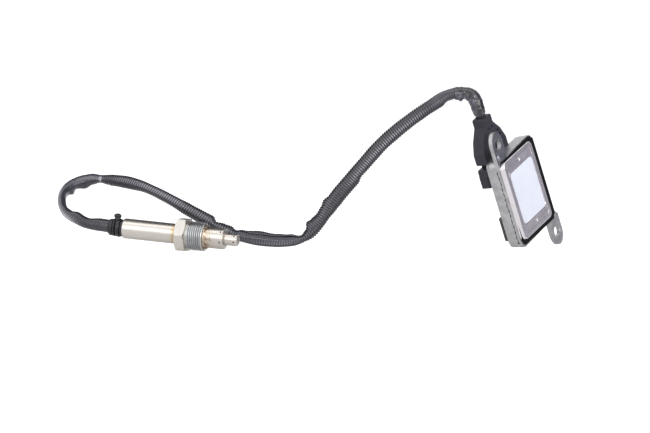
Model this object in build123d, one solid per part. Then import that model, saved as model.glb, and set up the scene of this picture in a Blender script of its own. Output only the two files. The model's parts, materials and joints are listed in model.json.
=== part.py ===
from build123d import *
from math import atan2, cos, degrees, radians, sin, tan
import os

# Exhaust-gas nitrogen oxide sensor: a threaded probe wired for good to its control module
# Millimetres, +Z up, origin on the table under the middle of the rigid pieces
# X runs from the cable end towards the module, and -Y is the side that the label faces

os.makedirs("parts", exist_ok=True)

# Clearances
seat_gap = 0.05
running_fit = 0.1
running_gap = 0.3

# Gland nut: turns freely on the sensor shell, so the wired harness doesn't twist
hex_flats = 22.0
hex_length = 7.5
thread_radius = 10.0
thread_length = 12.8
thread_chamfer = 0.5
undercut_width = 1.4
undercut_depth = 0.9
nut_pocket_depth = 2.4

# Rear sleeve
sleeve_radius = 7.1
sleeve_wall = 0.6
sleeve_length = 41.0
sleeve_collar_height = 0.65
sleeve_collar_width = 1.5
sleeve_mouth_radius = 5.95
sleeve_edge_radius = 1.4

# Sensor shell
shell_flange_radius = 8.7
shell_flange_width = 1.8
shell_seat_width = 1.1
shell_bore_radius = 4.6
shell_throat_radius = 3.4
shell_throat_length = 3.0
shell_tail_length = 11.5
spigot_length = 3.4

# Guard tubes round the sensing element
guard_radius = 7.4
guard_wall = 0.5
guard_length = 12.8
guard_edge_radius = 1.2
tip_radius = 4.25
tip_wall = 0.45
tip_reach = 9.6
tip_flange_width = 0.7
gas_hole_radius = 0.6
gas_hole_count = 6
gas_hole_setback = 2.0
gas_hole_turn = 19.0
crimp_mark_length = 2.8
crimp_mark_width = 0.7
crimp_mark_depth = 0.25

# Sensing element, its ceramics and its contacts
element_width = 4.6
element_thickness = 1.3
element_front_gap = 4.0
element_tail = 12.0
front_bush_length = 7.0
talc_length = 6.0
contact_block_length = 16.0
contact_count = 3
contact_pitch = 1.6
contact_width = 1.0
contact_thickness = 0.4
contact_tail_width = 2.0
contact_foot_height = 1.3
wire_radius = 0.6
wire_offset = 1.7
grommet_length = 9.0

# Rear boot and the tie that clamps it
boot_radius = 5.85
boot_bore_radius = 4.4
boot_length = 10.8
boot_groove_width = 0.6
boot_groove_depth = 0.7
boot_ring_width = 3.2
tie_width = 5.0
tie_thickness = 0.9
tie_proud = 0.15
tie_head_width = 4.4
tie_head_height = 3.6
tie_head_depth = 4.4
tie_head_setback = 2.1
tie_head_edge = 1.0

# Harness
conduit_radius = 4.8
tail_radius = 3.9
boot_stub = 9.0
splice_stub = 6.8
cable_stub = 6.5
corner_share = 0.45

# Control module: a pressed can with two fixing ears, its open face to the front
can_width = 51.5
can_height = 64.9
can_depth = 10.1
can_wall = 1.2
can_floor = 1.4
can_corner_radius = 4.6
can_back_radius = 2.3
rim_proud = 0.35
ear_thickness = 2.9
ear_radius = 7.3
ear_nose = 9.8
ear_hole_radius = 3.9
ear_countersink = 0.3
upper_ear_inset = 7.5
upper_ear_rise = 10.75
lower_ear_inset = 2.6
lower_ear_drop = 10.15
ear_root_radius = 1.5
ear_gusset = 6.2
ear_bump_radius = 2.5
ear_bump_height = 1.1
ear_bump_rise = 2.6
ear_bump_inset = 4.2

# Cover plate, its seal and the bare label
cover_left_gap = 2.4
cover_right_gap = 5.6
cover_top_gap = 2.3
cover_bottom_gap = 3.5
cover_proud = 2.5
cover_sheet = 0.8
cover_skirt_depth = 2.6
cover_corner_radius = 4.2
cover_edge_radius = 0.9
border_width = 3.4
border_step = 0.35
frame_margin = 1.2
frame_height = 0.35
window_side_margin = 4.4
window_end_margin = 9.3
window_corner_radius = 3.8
label_clearance = 0.8
label_thickness = 0.2
dimple_radius = 1.5
dimple_depth = 0.5
dimple_end_margin = 5.9
seal_depth = 3.6
seal_sink = 0.35
seal_lip = 1.6

# Circuit board
board_clearance = 1.0
board_thickness = 1.6
board_post_height = 1.2
board_post_radius = 2.2
board_post_inset = 5.5
capacitor_height = 3.2
resistor_height = 0.8

# Connector housing on the back of the can
housing_depth = 9.5
housing_split = 4.75
housing_inset = 19.25
housing_top = 28.7
housing_neck_half = 5.9
housing_neck_end = 22.4
housing_shoulder_half = 12.8
housing_shoulder_end = 14.6
housing_body_half = 16.8
housing_body_start = 6.2
housing_body_end = -2.2
housing_corner_radius = 1.5
waist_half = 9.9
waist_length = 3.3
socket_half = 16.8
socket_height = 14.1
socket_corner_radius = 1.2
socket_wall = 1.7
socket_floor = 1.6
socket_flange = 0.35
socket_flange_start = 4.0
socket_pin_count = 4
socket_pin_pitch = 3.6
socket_pin_width = 1.0
socket_pin_length = 4.6
cable_channel_radius = 2.9
cable_bush_radius = 3.5
cable_bush_length = 6.5
cable_collar_length = 2.0
harness_wire_count = 4
harness_wire_pitch = 1.4
harness_wire_bend = 2.0
wire_window_height = 3.4
wire_window_drop = 4.1
key_hole_radius = 0.8
key_hole_depth = 1.5
floor_window_height = 5.0

# Pad on the back of the can
pad_height = 18.0
pad_thickness = 2.2
pad_side_gap = 3.0
pad_bottom_gap = 4.6

# Attitude: the probe rests on the nut's lower flat and the end of its thread
probe_yaw = 20.0
probe_x = -103.62
probe_y = -35.41
probe_dip = degrees(atan2(hex_flats / 2 - thread_radius, thread_length - thread_chamfer))

# Attitude: the module stands on its lower back corner and the tip of its lower ear
module_azimuth = 32.3
module_lean = 5.6
module_roll = 22.35
module_x = 125.78
module_y = 18.99


def frame_from(origin, normal, upward):
    """Plane whose z is the normal and whose y is the part of upward square to it."""
    square = upward - normal * upward.dot(normal)
    across = square.normalized().cross(normal)
    return Plane(origin=origin, x_dir=across, z_dir=normal)


probe_axis = Vector(
    cos(radians(probe_dip)) * cos(radians(probe_yaw)),
    -cos(radians(probe_dip)) * sin(radians(probe_yaw)),
    -sin(radians(probe_dip)),
)
probe_height = hex_flats / 2 * cos(radians(probe_dip))
probe_frame = frame_from(Vector(probe_x, probe_y, probe_height), probe_axis, Vector(0, 0, 1))

# Stations along the probe, from the front face of the hexagon, positive to the tip
nut_rear = -hex_length
pocket_floor = nut_rear + nut_pocket_depth
sleeve_front = pocket_floor - running_gap
sleeve_rear = nut_rear - sleeve_length
flange_rear = thread_length + running_gap
flange_front = flange_rear + shell_flange_width
spigot_front = flange_front + spigot_length
guard_rear = flange_front + seat_gap
guard_front = flange_front + guard_length
tip_front = guard_front + tip_reach
shell_rear = sleeve_front - shell_tail_length
boot_front = sleeve_rear - seat_gap
boot_rear = boot_front - boot_length
block_front = shell_rear - running_gap
block_rear = block_front - contact_block_length
wire_front = block_rear - seat_gap
grommet_front = block_rear - seat_gap
grommet_rear = grommet_front - grommet_length
sleeve_bore = sleeve_radius - sleeve_wall
journal_radius = sleeve_radius - seat_gap
collar_radius = sleeve_radius + sleeve_collar_height


def turned(points):
    """Solid of revolution about z from a closed outline of (radius, station) points."""
    outline = Polyline(*[(radius, station) for radius, station in points], close=True)
    return revolve(Plane.XZ * make_face(outline), Axis.Z)


def rod(radius, start, end, x=0.0, y=0.0):
    return Pos(x, y, start) * Cylinder(
        radius, end - start, align=(Align.CENTER, Align.CENTER, Align.MIN))


def gland_nut():
    blank = Pos(0, 0, nut_rear) * extrude(
        RegularPolygon(hex_flats / 2, 6, major_radius=False), hex_length)
    corner = hex_flats / 2 / cos(radians(30))
    fall = (corner - hex_flats / 2) * 0.577
    blank &= turned([
        (0, nut_rear), (hex_flats / 2, nut_rear), (corner, nut_rear + fall),
        (corner, -fall), (hex_flats / 2, 0), (0, 0)])
    root = thread_radius - undercut_depth
    shank = turned([
        (0, 0), (root, 0), (root, undercut_width), (thread_radius, undercut_width + undercut_depth),
        (thread_radius, thread_length - thread_chamfer),
        (thread_radius - thread_chamfer, thread_length), (0, thread_length)])
    bore = rod(journal_radius + running_fit, nut_rear, thread_length)
    pocket = rod(collar_radius + running_gap, nut_rear, pocket_floor)
    return blank + shank - bore - pocket


def rear_sleeve():
    body = turned([
        (sleeve_mouth_radius, sleeve_rear), (sleeve_radius, sleeve_rear),
        (sleeve_radius, sleeve_front - sleeve_collar_width),
        (collar_radius, sleeve_front - sleeve_collar_width), (collar_radius, sleeve_front),
        (sleeve_bore, sleeve_front), (sleeve_bore, sleeve_rear + sleeve_wall),
        (sleeve_mouth_radius, sleeve_rear + sleeve_wall)])
    rim = [edge for edge in body.edges().filter_by(GeomType.CIRCLE)
           if abs(edge.radius - sleeve_radius) < seat_gap / 5
           and abs(edge.center().Z - sleeve_rear) < seat_gap]
    return fillet(rim, min(sleeve_edge_radius, (sleeve_radius - sleeve_mouth_radius) * 0.9))


def sensor_shell():
    tail = sleeve_bore - seat_gap
    spigot = guard_radius - guard_wall - seat_gap
    journal_rear = sleeve_front + seat_gap
    throat_rear = spigot_front - shell_throat_length
    return turned([
        (shell_bore_radius, shell_rear), (tail, shell_rear), (tail, journal_rear),
        (journal_radius, journal_rear), (journal_radius, flange_rear),
        (shell_flange_radius, flange_rear),
        (shell_flange_radius, flange_front - shell_seat_width),
        (guard_radius + seat_gap, flange_front), (spigot, flange_front), (spigot, spigot_front),
        (shell_throat_radius, spigot_front), (shell_throat_radius, throat_rear),
        (shell_bore_radius, throat_rear)])


def gas_holes(radius, station):
    drill = Pos(0, 0, station) * Rot(0, 90, 0) * Cylinder(
        gas_hole_radius, radius + 1, align=(Align.CENTER, Align.CENTER, Align.MIN))
    step = 360 / gas_hole_count
    return [Rot(0, 0, 180 + gas_hole_turn + step * index) * drill for index in range(gas_hole_count)]


def outer_guard_tube():
    inner = guard_radius - guard_wall
    opening = tip_radius + seat_gap
    body = turned([
        (inner, guard_rear), (guard_radius, guard_rear), (guard_radius, guard_front),
        (opening, guard_front), (opening, guard_front - guard_wall), (inner, guard_front - guard_wall)])
    rim = [edge for edge in body.edges().filter_by(GeomType.CIRCLE)
           if abs(edge.radius - guard_radius) < seat_gap / 5
           and abs(edge.center().Z - guard_front) < seat_gap]
    body = fillet(rim, guard_edge_radius)
    for drill in gas_holes(guard_radius, guard_front - gas_hole_setback):
        body -= drill
    mark_station = flange_front + guard_length * 0.3
    mark = Pos(-guard_radius, 0, mark_station) * Box(
        2 * crimp_mark_depth, crimp_mark_length, crimp_mark_width)
    return body - Rot(0, 0, -10) * mark


def tip_guard_tube():
    inner = tip_radius - tip_wall
    flange_back = spigot_front + seat_gap
    flange_rim = guard_radius - guard_wall - seat_gap
    body = turned([
        (inner, flange_back), (flange_rim, flange_back),
        (flange_rim, flange_back + tip_flange_width), (tip_radius, flange_back + tip_flange_width),
        (tip_radius, tip_front), (gas_hole_radius, tip_front),
        (gas_hole_radius, tip_front - tip_wall), (inner, tip_front - tip_wall)])
    rim = [edge for edge in body.edges().filter_by(GeomType.CIRCLE)
           if abs(edge.radius - tip_radius) < seat_gap / 5
           and abs(edge.center().Z - tip_front) < seat_gap]
    body = fillet(rim, guard_edge_radius)
    for drill in gas_holes(tip_radius, tip_front - gas_hole_setback - gas_hole_radius / 2):
        body -= drill
    return body


element_front = tip_front - element_front_gap
element_rear = block_front - element_tail
bush_front = spigot_front - shell_throat_length - seat_gap
bush_rear = bush_front - front_bush_length
talc_rear = bush_rear - talc_length


def sensing_element():
    length = element_front - element_rear
    middle = (element_front + element_rear) / 2
    return Pos(0, 0, middle) * Box(element_width, element_thickness, length)


def slotted_plug(rear, front):
    slot = Pos(0, 0, (rear + front) / 2) * Box(
        element_width + 2 * seat_gap, element_thickness + 2 * seat_gap, front - rear + 1)
    return rod(shell_bore_radius - seat_gap, rear, front) - slot


def contact_positions():
    middle = (contact_count - 1) / 2
    return [((index - middle) * contact_pitch, side)
            for side in (-1, 1) for index in range(contact_count)]


def spring_contacts():
    rear = block_rear + seat_gap
    strips = []
    for across, side in contact_positions():
        start = element_thickness / 2 + seat_gap
        strip = Pos(across, side * (start + contact_thickness / 2), (rear + block_front) / 2) * Box(
            contact_width, contact_thickness, block_front - rear - 2 * seat_gap)
        foot = Pos(across, side * (start + contact_foot_height / 2), rear + contact_tail_width / 2) * Box(
            contact_width, contact_foot_height, contact_tail_width)
        strips.append(strip + foot)
    return Compound(children=strips)


def contact_block():
    block = rod(sleeve_bore - running_gap, block_rear, block_front)
    span = (contact_count - 1) * contact_pitch + contact_width
    reach = element_thickness / 2 + contact_foot_height + 3 * seat_gap
    slot_width = max(span, element_width) + 4 * seat_gap
    slot = Pos(0, 0, (block_rear + block_front) / 2) * Box(
        slot_width, 2 * reach, contact_block_length + 1)
    return block - slot


def wire_set(radius, rear, front):
    return [rod(radius, rear, front, across, side * wire_offset)
            for across, side in contact_positions()]


def rubber_grommet():
    body = rod(sleeve_bore - seat_gap, grommet_rear, grommet_front)
    for hole in wire_set(wire_radius + seat_gap, grommet_rear - 1, grommet_front + 1):
        body -= hole
    return body


tie_seat = boot_radius + tie_proud - tie_thickness - seat_gap
tie_front = boot_front - boot_groove_width
tie_rear = tie_front - tie_width


def end_boot():
    groove = boot_radius - boot_groove_depth
    ring_front = boot_rear + boot_ring_width
    return turned([
        (boot_bore_radius, boot_rear), (boot_radius, boot_rear), (boot_radius, ring_front),
        (groove, ring_front), (groove, tie_rear - seat_gap), (tie_seat, tie_rear - seat_gap),
        (tie_seat, tie_front + seat_gap), (boot_radius, tie_front + seat_gap),
        (boot_radius, boot_front), (boot_bore_radius, boot_front)])


def boot_tie():
    outer = tie_seat + seat_gap + tie_thickness
    strap = turned([
        (outer - tie_thickness, tie_rear), (outer, tie_rear), (outer, tie_front),
        (outer - tie_thickness, tie_front)])
    middle = (tie_rear + tie_front) / 2 - tie_head_setback
    base = Plane(origin=(0, outer - tie_thickness / 2, middle), x_dir=(1, 0, 0), z_dir=(0, 1, 0))
    height = tie_head_height + tie_thickness / 2
    head = extrude(base * Rectangle(tie_head_depth, tie_head_width), height, taper=9)
    head = fillet(head.faces().sort_by(Axis.Y)[-1].edges(), tie_head_edge)
    return strap + head - rod(outer - tie_thickness, tie_rear - 1, tie_front + 1)


# Stations of the module: x to the right, y up, z to the front, origin in the can's back face
half_width = can_width / 2
half_height = can_height / 2
board_back = can_floor + board_post_height
board_front = board_back + board_thickness
cover_width = can_width - cover_left_gap - cover_right_gap
cover_height = can_height - cover_top_gap - cover_bottom_gap
cover_middle = Vector((cover_left_gap - cover_right_gap) / 2, (cover_bottom_gap - cover_top_gap) / 2, 0)
window_width = cover_width - 2 * window_side_margin
window_height = cover_height - 2 * window_end_margin
dimple_offset = cover_height / 2 - dimple_end_margin
cover_top = can_depth + cover_proud
cover_face = cover_top - border_step
skirt_foot = can_depth - cover_skirt_depth
housing_middle = housing_inset - half_width
housing_crown = half_height + housing_top
cable_axis = -housing_depth / 2
waist_top = half_height + housing_body_end
socket_top = waist_top - waist_length
socket_middle = socket_top - socket_height / 2
wire_window = half_height - wire_window_drop
pin_window_width = (socket_pin_count - 1) * socket_pin_pitch + socket_pin_width + 4
wire_window_width = (harness_wire_count - 1) * harness_wire_pitch + 2 * wire_radius + 0.8
cable_end = housing_crown + cable_collar_length
upper_hole = Vector(upper_ear_inset - half_width, half_height + upper_ear_rise, 0)
lower_hole = Vector(half_width - lower_ear_inset, -half_height - lower_ear_drop, 0)


def slab(sketch, start, end):
    return extrude(Pos(0, 0, start) * sketch, end - start)


def rounded_slab(width, height, radius, start, end, middle=Vector(0, 0, 0)):
    return Pos(middle.X, middle.Y, 0) * slab(RectangleRounded(width, height, radius), start, end)


def ear(hole, edge):
    """Flat lug from inside the rim line out to a round end about its hole."""
    reach = abs(hole.Y - edge)
    bar = Pos(hole.X, (hole.Y + edge) / 2) * Rectangle(2 * ear_radius, reach)
    return bar + Pos(hole.X, hole.Y) * Ellipse(ear_radius, ear_nose)


def module_can():
    body = rounded_slab(can_width, can_height, can_corner_radius, 0, can_depth)
    body = fillet(body.faces().sort_by(Axis.Z)[0].edges(), can_back_radius)
    rim_width = can_width + 2 * rim_proud
    rim_height = can_height + 2 * rim_proud
    flange = RectangleRounded(rim_width, rim_height, can_corner_radius + rim_proud)
    flange += ear(upper_hole, half_height - can_corner_radius)
    flange += ear(lower_hole, -half_height + can_wall)
    outer = lower_hole.X + ear_radius
    corner_y = -half_height + can_wall
    flange += make_face(Polyline(
        (half_width, corner_y + ear_gusset), (outer - ear_root_radius, corner_y),
        (outer, corner_y - ear_root_radius), (half_width, corner_y - ear_root_radius), close=True))
    body += slab(flange, can_depth - ear_thickness, can_depth)
    inner_radius = can_corner_radius - can_wall
    body -= rounded_slab(
        can_width - 2 * can_wall, can_height - 2 * can_wall, inner_radius, can_floor, can_depth + 1)
    for hole in (upper_hole, lower_hole):
        body -= Pos(hole.X, hole.Y, 0) * rod(ear_hole_radius, 0, can_depth + 1)
        body -= Pos(hole.X, hole.Y, can_depth - ear_countersink / 2) * Cone(
            ear_hole_radius, ear_hole_radius + ear_countersink, ear_countersink)
    bump_y = half_height + ear_bump_rise
    dome_radius = (ear_bump_radius ** 2 + ear_bump_height ** 2) / (2 * ear_bump_height)
    dome = Pos(0, 0, ear_bump_height - dome_radius) * Sphere(dome_radius)
    dome &= Pos(0, 0, -ear_thickness / 2) * Cylinder(
        ear_bump_radius + 1, ear_thickness / 2 + 2 * ear_bump_height,
        align=(Align.CENTER, Align.CENTER, Align.MIN))
    body += Pos(ear_bump_inset - half_width, bump_y, can_depth) * dome
    span_x = half_width - board_post_inset
    span_y = half_height - board_post_inset
    for x in (-span_x, span_x):
        for y in (-span_y, span_y):
            body += Pos(x, y, 0) * rod(board_post_radius, can_floor / 2, board_back)
    body -= Pos(housing_middle, socket_middle, 0) * Box(
        pin_window_width, floor_window_height, 3 * can_floor)
    return body - Pos(housing_middle, wire_window, 0) * Box(
        wire_window_width, wire_window_height, 3 * can_floor)


def cover_plate():
    body = rounded_slab(cover_width, cover_height, cover_corner_radius, skirt_foot, cover_top)
    body = fillet(body.faces().sort_by(Axis.Z)[-1].edges(), cover_edge_radius)
    inner_radius = cover_corner_radius - cover_sheet
    body -= rounded_slab(
        cover_width - 2 * cover_sheet, cover_height - 2 * cover_sheet, inner_radius,
        skirt_foot - 1, cover_face - cover_sheet)
    field = rounded_slab(
        cover_width - 2 * border_width, cover_height - 2 * border_width,
        cover_corner_radius - border_width / 2, cover_face, cover_top + 1)
    frame = rounded_slab(
        window_width + 2 * frame_margin, window_height + 2 * frame_margin,
        window_corner_radius + frame_margin, cover_face - seat_gap, cover_face + frame_height)
    frame -= rounded_slab(
        window_width, window_height, window_corner_radius, cover_face - 1, cover_top + 1)
    body = body - field + frame
    ball = (dimple_radius ** 2 + dimple_depth ** 2) / (2 * dimple_depth)
    for y in (-dimple_offset, dimple_offset):
        body -= Pos(0, y, cover_face + ball - dimple_depth) * Sphere(ball)
    return Pos(cover_middle.X, cover_middle.Y, 0) * body


def blank_label():
    return rounded_slab(
        window_width - 2 * label_clearance, window_height - 2 * label_clearance,
        window_corner_radius - label_clearance, cover_face, cover_face + label_thickness,
        cover_middle)


def potting_seal():
    width = can_width - 2 * can_wall - 2 * seat_gap
    height = can_height - 2 * can_wall - 2 * seat_gap
    base = can_depth - seal_depth
    body = rounded_slab(
        width, height, can_corner_radius - can_wall - seat_gap, base, can_depth - seal_sink)
    body -= rounded_slab(
        cover_width + 2 * seat_gap, cover_height + 2 * seat_gap, cover_corner_radius + seat_gap,
        skirt_foot, can_depth + 1, cover_middle)
    return body - rounded_slab(
        cover_width - 2 * seal_lip, cover_height - 2 * seal_lip, cover_corner_radius - seal_lip,
        base - 1, can_depth + 1, cover_middle)


def circuit_board():
    inset = can_wall + board_clearance
    return rounded_slab(
        can_width - 2 * inset, can_height - 2 * inset, can_corner_radius - can_wall,
        board_back, board_front)


def board_parts():
    """Chips, capacitors and small parts, placed and sized as shares of the board."""
    width = can_width - 2 * (can_wall + board_clearance)
    height = can_height - 2 * (can_wall + board_clearance)
    parts = []
    for x, y, across, up, thickness in (
            (-0.08, -0.07, 0.24, 0.2, 1.4),
            (0.24, 0.1, 0.18, 0.12, 1.8),
            (-0.28, 0.2, 0.12, 0.085, 1.6),
            (0.2, -0.25, 0.16, 0.1, 2.4)):
        chip = slab(Rectangle(across * width, up * height), board_front, board_front + thickness)
        parts.append(Pos(x * width, y * height, 0) * chip)
    for y in (-0.29, -0.15):
        parts.append(rod(
            0.044 * height, board_front, board_front + capacitor_height, -0.32 * width, y * height))
    for index in range(5):
        chip = slab(Rectangle(0.04 * width, 0.02 * height), board_front, board_front + resistor_height)
        parts.append(Pos((0.08 * index - 0.16) * width, -0.36 * height, 0) * chip)
    return Compound(children=parts)


def housing_outline():
    right = [
        (housing_neck_half - 1, housing_crown), (housing_neck_half, housing_crown - 1.2),
        (housing_neck_half, half_height + housing_neck_end),
        (housing_shoulder_half, half_height + housing_shoulder_end),
        (housing_body_half, half_height + housing_body_start),
        (housing_body_half, waist_top)]
    left = [(-x, y) for x, y in reversed(right)]
    face = make_face(Polyline(*right, *left, close=True))
    corners = [vertex for vertex in face.vertices() if vertex.Y < housing_crown - 0.5]
    return fillet(corners, housing_corner_radius)


def cable_channel():
    length = housing_crown - wire_window
    channel = Pos(0, wire_window, cable_axis) * Rot(-90, 0, 0) * Cylinder(
        cable_channel_radius, length, align=(Align.CENTER, Align.CENTER, Align.MIN))
    pocket = Pos(0, housing_crown - cable_bush_length, cable_axis) * Rot(-90, 0, 0) * Cylinder(
        cable_bush_radius + seat_gap, cable_bush_length + 1,
        align=(Align.CENTER, Align.CENTER, Align.MIN))
    return channel + pocket


def pin_places():
    middle = (socket_pin_count - 1) / 2
    return [(index - middle) * socket_pin_pitch for index in range(socket_pin_count)]


def connector_body():
    front = slab(housing_outline(), -housing_split, 0)
    waist = Pos(0, waist_top - waist_length / 2 - 1) * Rectangle(2 * waist_half, waist_length + 2)
    lower = slab(waist, -housing_depth, 0)
    shroud = rounded_slab(
        2 * socket_half, socket_height, socket_corner_radius, -housing_depth, 0,
        Vector(0, socket_middle, 0))
    flange_height = socket_height - socket_flange_start
    lip = rounded_slab(
        2 * (socket_half + socket_flange), flange_height, socket_corner_radius,
        -housing_depth, -housing_depth / 3,
        Vector(0, socket_top - socket_flange_start - flange_height / 2, 0))
    body = front + lower + shroud + lip - cable_channel()
    body -= Pos(0, wire_window, cable_axis / 2) * Box(
        wire_window_width, wire_window_height, housing_depth / 2 + 1)
    body -= Pos(0, wire_window, cable_axis) * Box(
        2 * cable_channel_radius, wire_window_height, 2 * cable_channel_radius)
    body -= rounded_slab(
        2 * (socket_half - socket_wall), socket_height - 2 * socket_wall, socket_corner_radius / 2,
        -housing_depth - 1, -socket_floor, Vector(0, socket_middle, 0))
    body += Pos(0, socket_middle, (can_floor - seat_gap) / 2) * Box(
        pin_window_width - 4 * seat_gap, floor_window_height - 4 * seat_gap, can_floor - seat_gap)
    for x in pin_places():
        body -= Pos(x, socket_middle, 0) * Box(
            socket_pin_width + 2 * seat_gap, socket_pin_width + 2 * seat_gap, 2 * housing_depth)
    neck_y = half_height + housing_shoulder_end
    for x, y in ((-1.2, neck_y + 5.2), (3.2, neck_y + 5.2), (8.95, neck_y + 0.1), (10.2, neck_y - 3.45)):
        body -= Pos(x, y, 0) * rod(key_hole_radius, -key_hole_depth, 1)
    return Pos(housing_middle, 0, 0) * body


def cable_clamp_shell():
    body = slab(housing_outline(), -housing_depth, -housing_split)
    body = chamfer(body.faces().sort_by(Axis.Z)[0].edges(), 0.7)
    return Pos(housing_middle, 0, 0) * (body - cable_channel())


def connector_pins():
    front = board_back
    rear = -socket_floor - socket_pin_length
    pins = [Pos(housing_middle + x, socket_middle, (front + rear) / 2) * Box(
        socket_pin_width, socket_pin_width, front - rear) for x in pin_places()]
    return Compound(children=pins)


def harness_wire_places():
    middle = (harness_wire_count - 1) / 2
    return [(index - middle) * harness_wire_pitch for index in range(harness_wire_count)]


def cable_seal():
    body = Rot(-90, 0, 0) * Cylinder(
        cable_bush_radius, cable_bush_length + cable_collar_length,
        align=(Align.CENTER, Align.CENTER, Align.MIN))
    for x in harness_wire_places():
        body -= Pos(x, 0, 0) * Rot(-90, 0, 0) * Cylinder(wire_radius + seat_gap, 4 * cable_bush_length)
    return Pos(housing_middle, housing_crown - cable_bush_length, cable_axis) * body


def harness_wires():
    wires = []
    for x in harness_wire_places():
        path = FilletPolyline(
            (x, cable_end, cable_axis), (x, wire_window, cable_axis), (x, wire_window, board_back),
            radius=harness_wire_bend)
        start = Plane(origin=path @ 0, z_dir=path % 0)
        wires.append(sweep(start * Circle(wire_radius), path=path))
    return Pos(housing_middle, 0, 0) * Compound(children=wires)


def rear_pad():
    width = can_width - 2 * pad_side_gap
    middle = Vector(0, -half_height + pad_bottom_gap + pad_height / 2, 0)
    return rounded_slab(width, pad_height, 1.0, -pad_thickness, 0, middle)


azimuth = radians(module_azimuth)
lean = radians(module_lean)
roll = radians(module_roll)
level = Vector(sin(azimuth), cos(azimuth), 0)
module_normal = Vector(cos(lean) * cos(azimuth), -cos(lean) * sin(azimuth), sin(lean))
module_across = level * cos(roll) + module_normal.cross(level) * sin(roll)
loose_frame = Plane(origin=(0, 0, 0), x_dir=module_across, z_dir=module_normal)
can = module_can()
standing_height = -(loose_frame.location * can).bounding_box().min.Z
module_frame = Plane(
    origin=(module_x, module_y, standing_height), x_dir=module_across, z_dir=module_normal)

# Harness route: the conduit leaves the boot, loops behind the probe, touches the table and
# arches up to the splice, and the wrapped tail goes on down into the connector housing
boot_exit = probe_frame.from_local_coords(Vector(0, 0, boot_rear))
cable_exit = module_frame.from_local_coords(Vector(housing_middle, cable_end, cable_axis))
splice = Vector(83.2, -1.3, 108.8)
conduit_route = [
    boot_exit,
    boot_exit - probe_axis * boot_stub,
    Vector(-174.9, -5.9, 16.9),
    Vector(-188.0, 3.1, 21.5),
    Vector(-194.1, 14.1, 28.6),
    Vector(-194.2, 25.6, 37.4),
    Vector(-186.3, 34.1, 44.2),
    Vector(-175.9, 37.1, 46.4),
    Vector(-163.4, 33.1, 46.8),
    Vector(-149.9, 24.6, 45.3),
    Vector(-135.0, 14.6, 41.7),
    Vector(-119.3, 5.6, 34.3),
    Vector(-102.8, -1.9, 25.4),
    Vector(-86.3, -7.4, 17.0),
    Vector(-69.4, -10.4, 8.6),
    Vector(-53.0, -11.4, 5.2),
    Vector(-37.1, -11.4, 4.8),
    Vector(-24.6, -11.1, 6.7),
    Vector(-14.1, -10.7, 14.9),
    Vector(-6.1, -10.2, 27.7),
    Vector(3.3, -9.4, 41.7),
    Vector(17.1, -8.4, 57.0),
    Vector(32.6, -6.9, 74.5),
    Vector(52.0, -4.4, 90.3),
    Vector(69.4, -2.4, 102.2),
    Vector(78.4, -1.6, 107.9),
    splice,
]
tail_route = [
    splice,
    splice + (splice - conduit_route[-2]).normalized() * splice_stub,
    Vector(96.6, -1.9, 107.2),
    cable_exit + module_frame.y_dir * cable_stub,
    cable_exit,
]


def corner_radius(before, corner, after):
    """Largest tangent arc that two runs allow, from the shorter run and half the turn."""
    incoming = corner - before
    outgoing = after - corner
    half_turn = radians(incoming.get_angle(outgoing) / 2)
    return corner_share * min(incoming.length, outgoing.length) / tan(half_turn)


def cord(name, route, radius):
    radii = [corner_radius(*route[index:index + 3]) for index in range(len(route) - 2)]
    path = FilletPolyline(*route, radius=radii)
    section = Plane(origin=path @ 0, z_dir=path % 0) * Circle(radius)
    tube = sweep(section, path=path)
    print(name, "length", round(path.length, 1), "radii", [round(value, 1) for value in radii])
    print(name, "volume over section times length", tube.volume / (section.area * path.length))
    print(name, "lowest point", round(tube.bounding_box().min.Z, 3))
    return tube


def place(frame, pieces):
    return {name: frame.location * piece for name, piece in pieces.items()}


probe_pieces = {
    "gland_nut": gland_nut(),
    "sensor_shell": sensor_shell(),
    "rear_sleeve": rear_sleeve(),
    "outer_guard_tube": outer_guard_tube(),
    "tip_guard_tube": tip_guard_tube(),
    "sensing_element": sensing_element(),
    "front_ceramic_bush": slotted_plug(bush_rear, bush_front),
    "talc_seal": slotted_plug(talc_rear, bush_rear),
    "rear_ceramic_bush": slotted_plug(shell_rear, talc_rear),
    "contact_block": contact_block(),
    "spring_contacts": spring_contacts(),
    "lead_wires": Compound(children=wire_set(wire_radius, boot_rear, wire_front)),
    "rubber_grommet": rubber_grommet(),
    "end_boot": end_boot(),
    "boot_tie": boot_tie(),
}
module_pieces = {
    "module_can": can,
    "cover_plate": cover_plate(),
    "blank_label": blank_label(),
    "potting_seal": potting_seal(),
    "circuit_board": circuit_board(),
    "board_parts": board_parts(),
    "connector_body": connector_body(),
    "cable_clamp_shell": cable_clamp_shell(),
    "connector_pins": connector_pins(),
    "cable_seal": cable_seal(),
    "harness_wires": harness_wires(),
    "rear_pad": rear_pad(),
}
model = place(probe_frame, probe_pieces) | place(module_frame, module_pieces)
for name, piece in model.items():
    export_step(piece, f"parts/{name}.step")
export_step(cord("conduit", conduit_route, conduit_radius), "parts/conduit.step")
export_step(cord("cable_tail", tail_route, tail_radius), "parts/cable_tail.step")
rigid_box = Compound(children=list(model.values())).bounding_box()

thread_middle = (undercut_width + undercut_depth + thread_length - thread_chamfer) / 2
holes_middle = (upper_hole + lower_hole) / 2 + Vector(0, 0, can_depth)
socket_mouth = Vector(housing_middle, socket_middle, -housing_depth)
print("rigid box", rigid_box.min, rigid_box.max, "middle", rigid_box.center())
print("probe axis", probe_axis, "thread middle", probe_frame.from_local_coords(Vector(0, 0, thread_middle)))
print("module normal", module_normal, "ear holes middle", module_frame.from_local_coords(holes_middle))
print("ear hole distance", (upper_hole - lower_hole).length)
print("socket mouth", module_frame.from_local_coords(socket_mouth))
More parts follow.
